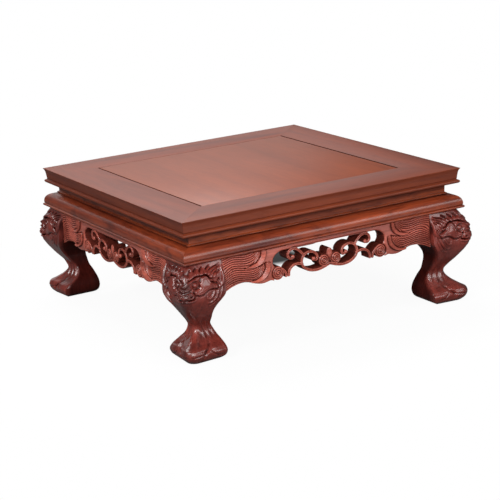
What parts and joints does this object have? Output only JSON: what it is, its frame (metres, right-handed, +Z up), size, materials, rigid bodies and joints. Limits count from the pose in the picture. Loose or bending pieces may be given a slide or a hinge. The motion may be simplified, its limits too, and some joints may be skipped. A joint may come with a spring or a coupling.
{
  "type": "bonsai stand",
  "caption": "Square low waisted display stand in carved lacquered hardwood: flush-panelled top, recessed waist, pierced scroll aprons and cabriole legs with beast masks and paw feet.",
  "frame": {"origin": "on the floor at the centre of the four feet", "axes": "+Z up, -Y towards the front apron, +X to the right; X and Y run along the sides of the square top"},
  "size_m": [0.3164, 0.3164, 0.13],
  "materials": {
    "rail_lacquer": "glossy clear lacquer over straight-grained rosewood, eased edges",
    "panel_lacquer": "glossy clear lacquer over flat-sawn rosewood",
    "batten_wood": "thin matt seal coat on planed rosewood",
    "waist_lacquer": "satin lacquer over rosewood",
    "moulding_lacquer": "glossy lacquer over rosewood with orange heartwood streaks",
    "apron_lacquer": "carved rosewood under satin lacquer, darker in the cuts",
    "leg_lacquer": "carved rosewood under glossy lacquer, darker in the cuts"
  },
  "bodies": {
    "root": {"top_rail_front": "rail_lacquer", "waist_board_front": "waist_lacquer", "moulding_front": "moulding_lacquer", "apron_front": "apron_lacquer", "top_rail_right": "rail_lacquer", "waist_board_right": "waist_lacquer", "moulding_right": "moulding_lacquer", "apron_right": "apron_lacquer", "top_rail_back": "rail_lacquer", "waist_board_back": "waist_lacquer", "moulding_back": "moulding_lacquer", "apron_back": "apron_lacquer", "top_rail_left": "rail_lacquer", "waist_board_left": "waist_lacquer", "moulding_left": "moulding_lacquer", "apron_left": "apron_lacquer", "leg_front_left": "leg_lacquer", "leg_front_right": "leg_lacquer", "leg_back_right": "leg_lacquer", "leg_back_left": "leg_lacquer", "top_panel": "panel_lacquer", "batten_front": "batten_wood", "batten_back": "batten_wood"}
  },
  "joints": []
}
